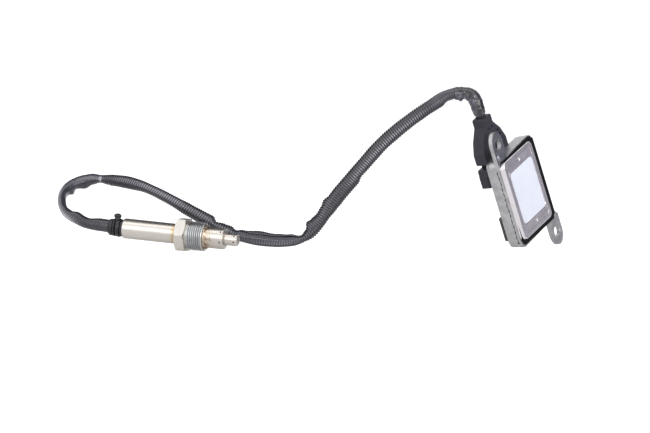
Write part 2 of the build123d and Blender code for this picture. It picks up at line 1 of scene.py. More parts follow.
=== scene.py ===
# %% [markdown]
# # A nitrogen oxide sensor, dressed over its solid model
# The object is a threaded steel probe, a corrugated loom and a boxed control module, lying on a
# pale table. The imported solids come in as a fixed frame. Each cell then makes one piece or one
# finish, in metres and in the frame of the solids, so that a new piece needs no fitting.

import bmesh
import bpy
import json
import math
from mathutils import Matrix, Vector, noise


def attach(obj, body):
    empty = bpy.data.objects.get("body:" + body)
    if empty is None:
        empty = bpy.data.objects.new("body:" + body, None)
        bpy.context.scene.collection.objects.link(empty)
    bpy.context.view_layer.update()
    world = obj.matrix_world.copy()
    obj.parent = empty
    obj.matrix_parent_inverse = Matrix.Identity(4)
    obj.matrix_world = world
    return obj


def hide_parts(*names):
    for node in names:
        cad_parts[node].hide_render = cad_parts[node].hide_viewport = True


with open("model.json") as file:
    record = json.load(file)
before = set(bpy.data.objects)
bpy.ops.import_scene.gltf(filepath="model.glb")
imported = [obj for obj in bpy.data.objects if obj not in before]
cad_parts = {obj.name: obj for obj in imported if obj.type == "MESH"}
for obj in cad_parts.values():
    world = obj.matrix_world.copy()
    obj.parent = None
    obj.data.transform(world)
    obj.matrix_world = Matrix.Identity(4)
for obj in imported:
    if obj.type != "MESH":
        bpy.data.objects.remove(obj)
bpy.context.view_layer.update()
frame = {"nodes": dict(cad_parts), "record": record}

# %% [markdown]
# The camera comes first, because all that follows is judged through it. A long lens far away
# keeps parallel edges nearly parallel, as in a picture of a product taken from a distance. The
# view is along +Y, three degrees above the table. A wide view is set by lens and distance
# together, so the distance is worked out from the width that the picture has to take in.

# %% Camera
view_width = 0.45775
view_target = Vector((-0.00802, -0.00747, 0.0226))
view_rise = math.radians(3)

camera_data = bpy.data.cameras.new("photo camera")
camera_data.lens = 500
camera_data.sensor_width = 36
view_distance = view_width * camera_data.lens / camera_data.sensor_width
camera_data.clip_end = 50
camera = bpy.data.objects.new("photo camera", camera_data)
camera.location = view_target + view_distance * Vector((0, -math.cos(view_rise), math.sin(view_rise)))
camera.rotation_euler = (math.pi / 2 - view_rise, 0, 0)
bpy.context.collection.objects.link(camera)
bpy.context.scene.camera = camera
print("camera distance", round(view_distance, 2), "m")

# %% [markdown]
# The harness lies on one smooth line. A NURBS spline takes the route's points as its control
# points, so it flows past them without kinks. The spline's order and its end rule are set after
# its points, because a spline with no points can't hold them. A curve without a bevel turns into
# a string of points, and these points carry the tube that is modelled next.

# %% Route of the harness
conduit_route = [
    (-159.21, -15.21, 15.77), (-167.64, -12.14, 16.5), (-174.9, -5.9, 16.9), (-188.0, 3.1, 21.5),
    (-194.1, 14.1, 28.6), (-194.2, 25.6, 37.4), (-186.3, 34.1, 44.2), (-175.9, 37.1, 46.4),
    (-163.4, 33.1, 46.8), (-149.9, 24.6, 45.3), (-135.0, 14.6, 41.7), (-119.3, 5.6, 34.3),
    (-102.8, -1.9, 25.4), (-86.3, -7.4, 17.0), (-69.4, -10.4, 8.6), (-53.0, -11.4, 5.2),
    (-37.1, -11.4, 4.8), (-24.6, -11.1, 6.7), (-14.1, -10.7, 14.9), (-6.1, -10.2, 27.7),
    (3.3, -9.4, 41.7), (17.1, -8.4, 57.0), (32.6, -6.9, 74.5), (52.0, -4.4, 90.3),
    (69.4, -2.4, 102.2), (78.4, -1.6, 107.9), (83.2, -1.3, 108.8),
]
tail_route = [
    (83.2, -1.3, 108.8), (89.87, -0.88, 110.05), (96.6, -1.9, 107.2), (99.32, -2.73, 100.37),
    (101.13, -0.95, 94.39),
]


def centre_line(name, route):
    """Points of the smooth line that flows past a route's places; prints how long it is."""
    curve = bpy.data.curves.new(name + " route", "CURVE")
    curve.dimensions = "3D"
    spline = curve.splines.new("NURBS")
    spline.points.add(len(route) - 1)
    for point, place in zip(spline.points, route):
        point.co = (*[value / 1000 for value in place], 1)
    spline.order_u = 3
    spline.use_endpoint_u = True
    spline.resolution_u = 24
    holder = bpy.data.objects.new(name + " route", curve)
    bpy.context.collection.objects.link(holder)
    bpy.context.view_layer.update()
    line = bpy.data.meshes.new_from_object(holder)
    points = [vertex.co.copy() for vertex in line.vertices]
    bpy.data.objects.remove(holder)
    bpy.data.meshes.remove(line)
    length = sum((b - a).length for a, b in zip(points, points[1:]))
    print(name, "line", round(length * 1000, 1), "mm,", len(points), "points")
    return points


conduit_line = centre_line("conduit", conduit_route)
tail_line = centre_line("cable_tail", tail_route)

# %% [markdown]
# A tube along a line needs a frame at every station: a direction along the line, and two square
# to it. Here the first of the two is the one that turns most towards the front, which is -Y, and
# the second is square to both. The harness never points straight to the front, so the frame never
# flips. A grid is rolled up round the line, one row a station. A profile function gives each
# vertex its distance from the line, and a tone of painted light and shade that the finish reads
# later. A grid is quick to make and keeps the rows evenly spaced.

# %% Grid rolled round a line
front = Vector((0, -1, 0))


def stations(points, step):
    """Evenly spaced (distance, point, direction) along a line of points."""
    distances = [0.0]
    for a, b in zip(points, points[1:]):
        distances.append(distances[-1] + (b - a).length)
    count = max(2, round(distances[-1] / step))
    found = []
    index = 0
    for row in range(count + 1):
        wanted = distances[-1] * row / count
        while index < len(points) - 2 and distances[index + 1] < wanted:
            index += 1
        run = points[index + 1] - points[index]
        part = (wanted - distances[index]) / run.length
        found.append([wanted, points[index] + run * part, None])
    for row in range(count + 1):
        before = found[max(0, row - 1)][1]
        after = found[min(count, row + 1)][1]
        found[row][2] = (after - before).normalized()
    return found


def rolled_tube(name, rows, around, profile, closed=True):
    """Mesh of a grid rolled round the rows; profile(distance, turn) gives offsets and the tone of painted
    light and shade.
    """
    form = bmesh.new()
    tone = form.verts.layers.float.new("tone")
    columns = around if closed else around - 1
    bmesh.ops.create_grid(form, x_segments=columns, y_segments=len(rows) - 1, size=0.5)
    form.verts.ensure_lookup_table()
    for vertex in form.verts:
        turn = vertex.co.x + 0.5
        row = rows[round((vertex.co.y + 0.5) * (len(rows) - 1))]
        facing = (front - row[2] * front.dot(row[2])).normalized()
        aside = row[2].cross(facing)
        forward, sideways, vertex[tone] = profile(row[0], turn)
        vertex.co = row[1] + facing * forward + aside * sideways
    if closed:
        bmesh.ops.remove_doubles(form, verts=form.verts, dist=1e-6)
    bmesh.ops.recalc_face_normals(form, faces=form.faces)
    mesh = bpy.data.meshes.new(name)
    form.to_mesh(mesh)
    form.free()
    mesh.shade_smooth()
    piece = bpy.data.objects.new(name, mesh)
    bpy.context.collection.objects.link(piece)
    print(name, len(mesh.polygons), "faces")
    return piece


def between(distance, keys):
    """Smoothly blended value from a list of (distance, value) keys, in millimetres."""
    if distance <= keys[0][0]:
        return keys[0][1]
    for (a, low), (b, high) in zip(keys, keys[1:]):
        if distance < b:
            part = (distance - a) / (b - a)
            part = part * part * (3 - 2 * part)
            return low + (high - low) * part
    return keys[-1][1]


# %% [markdown]
# The conduit is a split loom: a thin corrugated plastic tube, slit along its length so that it can
# be pushed over the wires. Where it bends hard it flattens and folds. A plain swept circle would
# look like a hose, so lists of (distance along the loom, value) in millimetres say how far the
# sheet stands off the line: to its two sides, named inner and outer after the first bend, and in
# depth. The two sides are measured apart, because a fold swells only one of them.

# %% Outline of the loom
inner_keys = [
    (0, 5.2), (7, 5.3), (20, 4.4), (30, 5.4), (38, 3.6), (47, 2.5), (57, 2.9), (64, 3.4), (70, 4.9),
    (75, 3.8), (84, 5.0), (90, 3.4), (96.5, 2.2), (102, 3.4), (106, 4.1), (120, 4.1), (138, 3.0),
    (160, 3.3), (170, 4.0), (182, 4.5), (199, 4.2), (214, 3.8), (227, 4.0), (250, 4.2), (258, 4.0),
    (263, 4.65), (279, 4.6), (289, 5.8), (294, 6.4), (313, 6.7), (319, 5.2), (356, 5.0), (395, 4.8),
    (401, 3.4), (407, 3.6),
]
outer_keys = [
    (0, 4.6), (7, 4.3), (20, 3.7), (30, 3.3), (47, 3.2), (57, 3.2), (75, 3.8), (84, 4.4), (90, 4.6),
    (96.5, 3.6), (106, 4.6), (120, 5.3), (138, 4.9), (160, 5.1), (170, 5.6), (189.5, 5.7), (193.5, 2.7),
    (199, 4.0), (205, 4.7), (209, 3.5), (214, 5.3), (227, 7.0), (241, 5.7), (250, 4.8), (258, 2.2),
    (263, 3.8), (268, 7.3), (273, 6.3), (279, 5.3), (284, 5.8), (289, 7.0), (294, 5.7), (306, 5.2),
    (335, 5.6), (356, 5.9), (380, 5.5), (395, 5.2), (407, 4.6),
]
deep_keys = [
    (0, 4.7), (30, 4.5), (50, 5.0), (75, 4.2), (95, 4.6), (120, 4.7), (180, 4.6), (225, 4.3),
    (262, 4.6), (310, 4.8), (407, 4.4),
]
print("loom outline", len(inner_keys), "inner,", len(outer_keys), "outer,", len(deep_keys), "deep keys")

# %% [markdown]
# Three more lists say how strong the ribs are, which way the slit faces, in degrees, and how far
# its upper edge lifts into small flaps. Where the loom is bent hard its ribs are pressed out.

# %% Ribs, slit and lifted edge
rib_keys = [
    (0, 0.3), (8, 0.8), (20, 0.9), (38, 0.4), (46, 0.1), (96, 0.1), (102, 0.9), (122, 0.9), (140, 0.5),
    (164, 0.5), (170, 1.0), (205, 1.0), (212, 0.6), (226, 0.3), (254, 0.2), (262, 1.0), (385, 1.0),
    (396, 0.3), (407, 0.1),
]
slit_keys = [
    (0, 130), (22, 95), (60, 60), (95, 50), (108, 150), (170, 190), (205, 230), (222, 290),
    (256, 285), (272, 230), (300, 190), (380, 170), (392, 120), (407, 95),
]
lift_keys = [
    (0, 0.1), (22, 0.2), (30, 0.5), (38, 0.2), (62, 0.2), (70, 1.1), (75, 0.4), (84, 0.9), (92, 0.2),
    (100, 0.3), (106, 0.1), (215, 0.1), (240, 0.4), (252, 0.9), (258, 0.1), (268, 0.1), (388, 0.1),
    (397, 1.6), (403, 1.2), (407, 0.6),
]
print("ribs pressed out at", [key[0] for key in rib_keys if key[1] < 0.2], "mm")

# %% [markdown]
# The shiny sheet gets painted shade in its grooves, a painted highlight as a streak along its length
# with painted shade beside it, and painted highlights as glints on its folds. Lamps alone can't place
# these, so each vertex carries a tone: one leaves the finish as it is, less darkens it and more
# lightens it. A glint has its station, its reach, the angle that it faces, in degrees from the front,
# and its amount. The streak has an amount and an aim that change by distance.

# %% Painted light and shade on the loom
# Painted light on the loom: a highlight streak with shade beside it, and highlight glints on its folds.
painted_streak_light = 1.4
painted_streak_shade = 1.3
painted_streak_tightness = 7
painted_glint_tightness = 3
painted_glints = [
    (34, 10, -45, 0.9), (60, 5, 90, 0.9), (71, 2.5, 90, 0.7), (97.5, 1.0, 0, 0.8), (215, 7, -90, 0.3),
    (252, 3.5, -90, 0.6), (400, 3, 90, 0.3),
]
painted_streak_keys = [
    (0, 0.05), (104, 0.15), (116, 0.36), (150, 0.34), (195, 0.25), (215, 0.15), (240, 0.22),
    (258, 0.12), (280, 0.24), (300, 0.12), (318, 0.4), (340, 0.42), (375, 0.36), (392, 0.1),
    (407, 0.0),
]
painted_streak_aims = [(104, -28), (200, -20), (218, 25), (255, 20), (268, -22), (292, -18), (312, 8)]


def loom_painted_light_and_shade(along, angle, rib):
    """Tone of the sheet: painted shade in the grooves and beside the streak, painted highlights along the
    streak and at the glints.
    """
    streak = between(along, painted_streak_keys)
    towards = max(0.0, math.cos(angle - math.radians(between(along, painted_streak_aims))))
    painted_groove_shade = between(along, rib_keys) * rib
    light = painted_streak_light * towards ** painted_streak_tightness - painted_streak_shade * (1 - towards)
    tone = 1 - painted_groove_shade + streak * light
    for station, reach, aim, amount in painted_glints:
        facing = max(0.0, math.cos(angle - math.radians(aim)))
        tone += amount * facing ** painted_glint_tightness * math.exp(-((along - station) / reach) ** 2)
    return tone


print(len(painted_glints), "glints on the loom")

# %% [markdown]
# The sheet is an open grid that goes a little more than once round the line, so that its last
# edge lies over its first, as the edges of the slit do. The ribs are waves in its distance from
# the line, six rows to a wave, and a low noise crumples it. A Solidify modifier then gives the
# sheet the thickness of the plastic, and its two edges show it.

# %% Split loom
rib_pitch = 1.75
rib_rings = 6
rib_depth = 0.5
extra_roll = 0.5
overlap_rise = 0.55
edge_share = 0.2
crumple_depth = 0.22
crumple_length = 9
crumple_round = 1.3
sheet_columns = 27
sheet_thickness = 0.0004


def loom_profile(distance, turn):
    """Offsets of the loom's sheet, which is a slightly overlapping roll, and its tone of painted light
    and shade.
    """
    along = distance * 1000
    angle = math.radians(between(along, slit_keys)) + turn * (2 * math.pi + extra_roll)
    rib = 0.5 - 0.5 * math.cos(2 * math.pi * along / rib_pitch)
    ribbing = -rib_depth * between(along, rib_keys) * rib ** 1.5
    overlap = overlap_rise * turn
    edge = max(0.0, (turn - (1 - edge_share)) / edge_share)
    lift = between(along, lift_keys) * edge * edge
    crumple = crumple_depth * noise.noise(Vector((
        along / crumple_length, math.cos(angle) * crumple_round, math.sin(angle) * crumple_round)))
    extra = ribbing + overlap - overlap_rise + lift + crumple
    side_keys = inner_keys if math.sin(angle) > 0 else outer_keys
    forward = (between(along, deep_keys) + extra) * math.cos(angle)
    sideways = (between(along, side_keys) + extra) * math.sin(angle)
    return forward / 1000, sideways / 1000, loom_painted_light_and_shade(along, angle, rib)


loom_rows = stations(conduit_line, rib_pitch / rib_rings / 1000)
conduit = rolled_tube("split_loom", loom_rows, sheet_columns, loom_profile, closed=False)
wall = conduit.modifiers.new("sheet thickness", "SOLIDIFY")
wall.thickness = sheet_thickness
wall.offset = -1
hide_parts("conduit")
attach(conduit, "sensor")

# %% [markdown]
# Between the loom and the housing the wires are wrapped in shiny tape. The tape goes round in a
# spiral, each turn lapping over the last, and it creases. A spiral step in the radius and a fine
# noise give that on a closed tube, and a soft bump makes the loose flap under the first turn.
# Folding real strips would cost more and look the same. The tone is painted light and shade: it
# lightens the ridges of the creases and the side that lies inside the bend, and darkens the rest.

# %% Taped cable tail
tail_keys = [
    (0, 4.7), (3, 4.7), (8, 4.4), (12, 5.0), (16, 5.0), (20, 5.0), (23, 4.9), (25.5, 4.6), (28, 4.0)]
# Painted shade along the tape: a base tone under one darkens it.
tail_painted_shade_keys = [(5, 0.3), (12, 0.5)]
tape_pitch = 5.5
lap_height = 0.3
crease_depth = 0.3
crease_length = 2.2
crease_round = 1.6
flap_middle = 4.2
flap_height = 1.7
flap_reach = 1.7
# Painted light and shade on the tape: lighter inside the bend and darker outside, lighter and darker on
# the creases.
bend_painted_light_and_shade = 0.55
crease_painted_light_and_shade = 1.2
tail_step = 0.00025
tail_columns = 40


def tail_profile(distance, turn):
    """Offsets of the tape, with its laps, its creases and the flap under the first turn, and its tone of
    painted light and shade.
    """
    along = distance * 1000
    angle = 2 * math.pi * turn
    lap = (along / tape_pitch + turn) % 1
    crease = noise.noise(Vector((
        along / crease_length, math.cos(angle) * crease_round, math.sin(angle) * crease_round)))
    radius = between(along, tail_keys) - lap_height * lap + crease_depth * crease
    below = max(0.0, math.sin(angle))
    radius += flap_height * below ** 3 * math.exp(-((along - flap_middle) / flap_reach) ** 2)
    tone = between(along, tail_painted_shade_keys) + bend_painted_light_and_shade * math.sin(angle) + crease_painted_light_and_shade * crease
    return radius * math.cos(angle) / 1000, radius * math.sin(angle) / 1000, tone


tail_rows = stations(tail_line, tail_step)
cable_tail = rolled_tube("taped_tail", tail_rows, tail_columns, tail_profile)
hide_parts("cable_tail")
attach(cable_tail, "sensor")

# %% [markdown]
# A cord is more than its mesh. Whoever uses the scene has to know where it leaves the object, how
# long, thick and stiff it is, and which line it follows. Both ends of this harness join the
# object.

print("harness declared with", len(conduit_line), "points")

# %% [markdown]
# Every surface below gets its colour, its shine and its fine relief from nodes. Most finishes
# share one idea: a noise that wavers between two colours and two roughnesses, and the same noise
# as a slight bump. It is built once as a node group, with named inputs. A low scale gives the
# slow clouding of drawn steel, and a high one the fine grain of cast plastic.

# %% Colours and groups
def colour(code):
    """Linear colour from the hexadecimal code of a screen colour."""
    parts = [int(code[index:index + 2], 16) / 255 for index in (0, 2, 4)]
    return [part / 12.92 if part < 0.04045 else ((part + 0.055) / 1.055) ** 2.4 for part in parts]


def new_group(name, inputs, outputs):
    """Node group with named sockets: inputs as (name, kind, value), outputs as (name, kind)."""
    group = bpy.data.node_groups.new(name, "ShaderNodeTree")
    for title, kind, value in inputs:
        socket = group.interface.new_socket(title, in_out="INPUT", socket_type="NodeSocket" + kind)
        socket.default_value = value
    for title, kind in outputs:
        group.interface.new_socket(title, in_out="OUTPUT", socket_type="NodeSocket" + kind)
    return group, group.nodes.new("NodeGroupInput"), group.nodes.new("NodeGroupOutput")


def add(tree, kind, settings=None, values=None, links=None):
    """New node in a tree, with its settings, its plain socket values and what feeds it."""
    node = tree.nodes.new("ShaderNode" + kind)
    for key, value in (settings or {}).items():
        setattr(node, key, value)
    for key, value in (values or {}).items():
        node.inputs[key].default_value = value
    for key, source in (links or {}).items():
        tree.links.new(source, node.inputs[key])
    return node


grain, grain_in, grain_out = new_group(
    "wavering grain",
    [("Scale", "Float", 200.0), ("First Colour", "Color", (0.5, 0.5, 0.5, 1)),
     ("Second Colour", "Color", (0.6, 0.6, 0.6, 1)), ("First Roughness", "Float", 0.3),
     ("Second Roughness", "Float", 0.4), ("Relief", "Float", 0.1)],
    [("Colour", "Color"), ("Roughness", "Float"), ("Normal", "Vector")])
place = add(grain, "TexCoord")
cloud = add(grain, "TexNoise", values={"Detail": 5.0, "Roughness": 0.62}, links={
    "Vector": place.outputs["Object"], "Scale": grain_in.outputs["Scale"]})
spread = add(grain, "MapRange", values={"From Min": 0.3, "From Max": 0.7}, links={
    "Value": cloud.outputs["Fac"]})
tone = add(grain, "Mix", {"data_type": "RGBA"}, links={
    "Factor": spread.outputs[0], "A": grain_in.outputs["First Colour"],
    "B": grain_in.outputs["Second Colour"]})
shine = add(grain, "MapRange", links={
    "Value": spread.outputs[0], "To Min": grain_in.outputs["First Roughness"],
    "To Max": grain_in.outputs["Second Roughness"]})
relief = add(grain, "Bump", values={"Distance": 0.0003}, links={
    "Strength": grain_in.outputs["Relief"], "Height": cloud.outputs["Fac"]})
grain.links.new(tone.outputs["Result"], grain_out.inputs["Colour"])
grain.links.new(shine.outputs[0], grain_out.inputs["Roughness"])
grain.links.new(relief.outputs[0], grain_out.inputs["Normal"])
print("group", grain.name, len(grain.nodes), "nodes")


# %% [markdown]
# A finish is a material round that group, with its two colours as screen codes, its two
# roughnesses, its scale and its relief. The shader stays in the material itself, where the export
# can read it. Any other socket of the shader is given by its name.

# %% Finish from the grain group
def finish(name, first, second, roughness, metallic, scale, relief, **plain):
    """Material whose colour and roughness waver between two values each, with a slight bump."""
    material = bpy.data.materials.new(name)
    material.use_nodes = True
    tree = material.node_tree
    shader = tree.nodes["Principled BSDF"]
    shader.inputs["Metallic"].default_value = metallic
    for socket, value in plain.items():
        shader.inputs[socket.replace("_", " ")].default_value = value
    waver = tree.nodes.new("ShaderNodeGroup")
    waver.node_tree = grain
    for socket, value in (
            ("Scale", scale), ("First Colour", (*colour(first), 1)),
            ("Second Colour", (*colour(second), 1)), ("First Roughness", roughness[0]),
            ("Second Roughness", roughness[1]), ("Relief", relief)):
        waver.inputs[socket].default_value = value
    tree.links.new(waver.outputs["Colour"], shader.inputs["Base Color"])
    tree.links.new(waver.outputs["Roughness"], shader.inputs["Roughness"])
    tree.links.new(waver.outputs["Normal"], shader.inputs["Normal"])
    return material


def paint(material, *nodes):
    """Puts a material on pieces, given as objects or as the names of solid nodes."""
    for piece in nodes:
        piece = frame["nodes"][piece] if isinstance(piece, str) else piece
        piece.data.materials.clear()
        piece.data.materials.append(material)
    print(material.name, "on", len(nodes), "pieces")


# %% [markdown]
# All that is turned or tinted on the probe is placed by its axis. The record of the solids has
# the mount of the thread, which lies on that axis, 7.3 mm ahead of the hexagon's front face. The
# stations of the probe are counted from that face, and they grow towards the tip.

# %% Axis of the probe
mount_ahead = 0.0073
boss = next(mount for mount in frame["record"]["mounts"] if mount["name"] == "boss_thread")
probe_axis = Vector(boss["axis"]).normalized()
hexagon_face = Vector(boss["pos_m"]) - probe_axis * mount_ahead
print("hexagon's front face", [round(value * 1000, 2) for value in hexagon_face])

# %% [markdown]
# The probe's metal carries the marks of heat: a golden band where the sleeve meets the hexagon,
# brown round the seat at the other end of the thread, and brown spots there and on the guard
# tube. The thread between them is a little bluer than the hexagon. Such a mark depends on how far
# along the probe a point lies. This group works that distance out from the object coordinates and
# the probe's axis, and multiplies the finish's colour by a ramp. Noise makes the bands uneven and
# picks out the spots. A painted picture would need a layout of the surface, and this needs none.

# %% Tint by the station
tint_from = -20.0
tint_to = 30.0
spots_rise = (0.006, 0.012)
spots_fade = (0.0135, 0.0185)


def station_tint(name, tints, wander):
    """Group that multiplies a colour by a ramp of (station in millimetres, code) along the probe.

    Noise moves the bands by up to half of the wander either way, which is in metres.
    """
    group, group_in, group_out = new_group(
        name, [("Colour", "Color", (1, 1, 1, 1)), ("Spots", "Float", 0.0)], [("Colour", "Color")])
    place = add(group, "TexCoord")
    moved = add(group, "VectorMath", {"operation": "SUBTRACT"}, {1: hexagon_face}, {
        0: place.outputs["Object"]})
    along = add(group, "VectorMath", {"operation": "DOT_PRODUCT"}, {1: probe_axis}, {
        0: moved.outputs[0]})
    patchy = add(group, "TexNoise", values={"Scale": 260.0, "Detail": 3.0}, links={
        "Vector": place.outputs["Object"]})
    shifted = add(group, "Math", {"operation": "MULTIPLY_ADD"}, {1: wander}, {
        0: patchy.outputs["Fac"], 2: along.outputs["Value"]})
    centred = add(group, "MapRange", values={
        "From Min": tint_from / 1000 + wander / 2, "From Max": tint_to / 1000 + wander / 2}, links={
        "Value": shifted.outputs[0]})
    ramp = add(group, "ValToRGB", links={"Fac": centred.outputs[0]})
    stops = ramp.color_ramp.elements
    while len(stops) < len(tints):
        stops.new(0.5)
    for stop, (station, code) in zip(stops, tints):
        stop.position = (station - tint_from) / (tint_to - tint_from)
        stop.color = (*colour(code), 1)
    banded = add(group, "Mix", {"data_type": "RGBA", "blend_type": "MULTIPLY"}, {"Factor": 1.0}, {
        "A": group_in.outputs["Colour"], "B": ramp.outputs["Color"]})
    speckle = add(group, "TexNoise", values={"Scale": 420.0, "Detail": 2.0}, links={
        "Vector": place.outputs["Object"]})
    picked = add(group, "MapRange", values={"From Min": 0.53, "From Max": 0.6}, links={
        "Value": speckle.outputs["Fac"]})
    near = add(group, "MapRange", values={"From Min": spots_fade[1], "From Max": spots_fade[0]}, links={
        "Value": along.outputs["Value"]})
    beyond = add(group, "MapRange", values={"From Min": spots_rise[0], "From Max": spots_rise[1]}, links={
        "Value": along.outputs["Value"]})
    spot = add(group, "Math", {"operation": "MULTIPLY"}, links={
        0: picked.outputs[0], 1: near.outputs[0]})
    seat = add(group, "Math", {"operation": "MULTIPLY"}, links={
        0: spot.outputs[0], 1: beyond.outputs[0]})
    amount = add(group, "Math", {"operation": "MULTIPLY"}, links={
        0: seat.outputs[0], 1: group_in.outputs["Spots"]})
    browned = add(group, "Mix", {"data_type": "RGBA", "blend_type": "MULTIPLY"}, {
        "B": (*colour("8a6748"), 1)}, {"Factor": amount.outputs[0], "A": banded.outputs["Result"]})
    group.links.new(browned.outputs["Result"], group_out.inputs["Colour"])
    print("group", name, len(group.nodes), "nodes")
    return group


# %% Tints of the heat and of the thread
heat = station_tint("heat tint", [
    (-12.5, "ffffff"), (-10.8, "fbf3e4"), (-9.6, "ecd5b2"), (-8.4, "cdb08a"), (-7.0, "ab9273"),
    (12.6, "e6dac8"), (14.2, "ebe0d0"), (16.5, "f4ece0"), (19.5, "ffffff")], 0.0035)
thread_tone = station_tint("thread tone", [
    (-8.0, "ffffff"), (0.1, "ffffff"), (0.7, "e3eaf5"), (12.0, "e3eaf5"), (12.5, "f4f6fa")], 0.0002)


def stained(material, tint, spots=0.0):
    """Passes a finish's colour through one of the tints along the probe, with or without spots."""
    tree = material.node_tree
    shader = tree.nodes["Principled BSDF"]
    source = shader.inputs["Base Color"].links[0].from_socket
    stain = tree.nodes.new("ShaderNodeGroup")
    stain.node_tree = tint
    stain.inputs["Spots"].default_value = spots
    tree.links.new(source, stain.inputs["Colour"])
    tree.links.new(stain.outputs["Colour"], shader.inputs["Base Color"])
    return material


# %% [markdown]
# Sleeve, guard tubes, shell and nut are all bare steel, but each is worked in its own way: drawn,
# rolled or turned. So they share the two groups and differ a little in colour and roughness.

# %% Steel of the probe
sleeve_steel = stained(
    finish("sleeve steel", "cbc5bd", "d1cbc3", (0.3, 0.34), 1.0, 60, 0.0), heat)
guard_steel = stained(
    finish("guard steel", "c4beb6", "cfc9c1", (0.28, 0.36), 1.0, 90, 0.01), heat, 1.0)
shell_steel = stained(
    finish("shell steel", "bdb6ac", "cbc5bd", (0.28, 0.4), 1.0, 300, 0.03), heat, 1.0)
nut_steel = stained(
    finish("nut steel", "cbc7be", "d6d2c9", (0.3, 0.42), 1.0, 220, 0.03), thread_tone)
paint(sleeve_steel, "rear_sleeve")
paint(guard_steel, "outer_guard_tube", "tip_guard_tube")
paint(shell_steel, "sensor_shell")

# %% [markdown]
# Several pieces below start from the solid that they stand for. Four helpers serve them: they
# merge a copy of the solid's loose triangles, cut edges into it, round its sharp edges, and make a
# finished piece of it. Modifiers could round an edge too, but not on loose triangles.

# %% Copies of solids and finished pieces
probe_turn = probe_axis.to_track_quat("Z", "Y").to_matrix().to_4x4()
probe_place = Matrix.Translation(hexagon_face) @ probe_turn


def merged_form(node):
    """Editable copy of a solid's mesh, its loose triangles joined and its flats made whole."""
    form = bmesh.new()
    form.from_mesh(frame["nodes"][node].data)
    bmesh.ops.remove_doubles(form, verts=form.verts, dist=2e-6)
    bmesh.ops.dissolve_limit(
        form, angle_limit=math.radians(0.6), verts=form.verts, edges=form.edges,
        use_dissolve_boundaries=False)
    return form


def cut(form, place, facing):
    """Cuts new edges into a form along a plane, and takes nothing away."""
    bmesh.ops.bisect_plane(
        form, geom=form.verts[:] + form.edges[:] + form.faces[:], plane_co=place, plane_no=facing)


def soften(form, width, least=30):
    """Rounds the edges that turn by more than the least angle."""
    sharp = [edge for edge in form.edges if len(edge.link_faces) == 2
             and edge.calc_face_angle(0) > math.radians(least)]
    bmesh.ops.bevel(
        form, geom=sharp, offset=width, offset_type="OFFSET", segments=2, profile=0.5,
        affect="EDGES", clamp_overlap=True, material=-1)


def piece_from(form, name, body, stands_for=(), angle=40):
    """Finished piece from a form, smooth up to an angle, riding on its body."""
    mesh = bpy.data.meshes.new(name)
    form.to_mesh(mesh)
    form.free()
    mesh.shade_smooth()
    mesh.set_sharp_from_angle(angle=math.radians(angle))
    piece = bpy.data.objects.new(name, mesh)
    bpy.context.collection.objects.link(piece)
    if stands_for:
        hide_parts(*stands_for)
    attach(piece, body)
    evened = piece.modifiers.new("even normals", "WEIGHTED_NORMAL")
    evened.keep_sharp = True
    print(name, len(mesh.polygons), "faces")
    return piece


# %% [markdown]
# The gland nut is a hexagon with a fine thread, and a lip ring stands at the thread's front end.
# The solid carries all of this as a plain cylinder. So the copy's shank is waisted down to the
# thread's root, and two cuts leave the slope up to the lip.

# %% Waisted shank of the gland nut
thread_root = 0.00905
shank_start = 0.0016
shank_end = 0.0117
shank_least_radius = 0.0092
lip_cuts = (0.0116, 0.012)

nut_form = merged_form("gland_nut")
nut_form.transform(probe_place.inverted())
for station in lip_cuts:
    cut(nut_form, (0, 0, station), (0, 0, 1))
for vertex in nut_form.verts:
    radius = vertex.co.xy.length
    if shank_start < vertex.co.z < shank_end and radius > shank_least_radius:
        vertex.co.xy *= thread_root / radius
soften(nut_form, 0.00018)
print("nut without its thread", len(nut_form.faces), "faces")

# %% [markdown]
# A thread drawn with a bump map would look flat from the side, so a real ridge is wound round the
# shank. Spin makes one when each of its small turns also moves a little way along the axis. Both
# ends of the ridge run out by sinking into the core.

# %% Helical thread
thread_crest = 0.01
thread_pitch = 0.0015
thread_start = 0.0014
thread_end = 0.0122
ridge_foot = 0.47
ridge_flat = 0.09
ridge_base = thread_root - 0.0002
spin_steps = 48

ridge = [
    (ridge_base, -ridge_foot), (thread_crest, -ridge_flat), (thread_crest, ridge_flat),
    (ridge_base, ridge_foot)]
corners = [
    nut_form.verts.new((radius, 0, thread_start + part * thread_pitch)) for radius, part in ridge]
outline = nut_form.faces.new(corners)
turns = (thread_end - thread_start) / thread_pitch
ridge_start = len(nut_form.verts) - len(corners)
bmesh.ops.spin(
    nut_form, geom=[outline, *outline.edges, *corners], cent=(0, 0, 0), axis=(0, 0, 1),
    dvec=(0, 0, thread_pitch / spin_steps), angle=2 * math.pi * turns, steps=round(spin_steps * turns))
nut_form.verts.ensure_lookup_table()
for vertex in nut_form.verts[ridge_start:]:
    inner = min(vertex.co.z - thread_start, thread_end - vertex.co.z) + thread_pitch / 2
    highest = thread_root + (thread_crest - thread_root) * min(1.0, max(0.0, inner / thread_pitch))
    radius = vertex.co.xy.length
    if radius > highest:
        vertex.co.xy *= highest / radius
bmesh.ops.recalc_face_normals(nut_form, faces=nut_form.faces)
nut_form.transform(probe_place)
gland_nut = piece_from(nut_form, "threaded_nut", "nut", ["gland_nut"], 32)
paint(nut_steel, gland_nut)

# %% [markdown]
# A short dark line across the outer guard tube is where its steel is crimped. It stands a hair
# proud, so a small rounded bar half sunk in the tube gives it, and the bar's dark colour is painted
# shade of the crimp. A dent cut into the tube would need a copy of the whole solid for one small mark.

# %% Crimp mark
crimp_size = (0.16, 2.6, 0.45)
crimp_middle = (0.00735, 0.001, 0.0187)
crimp_slant = 0.25

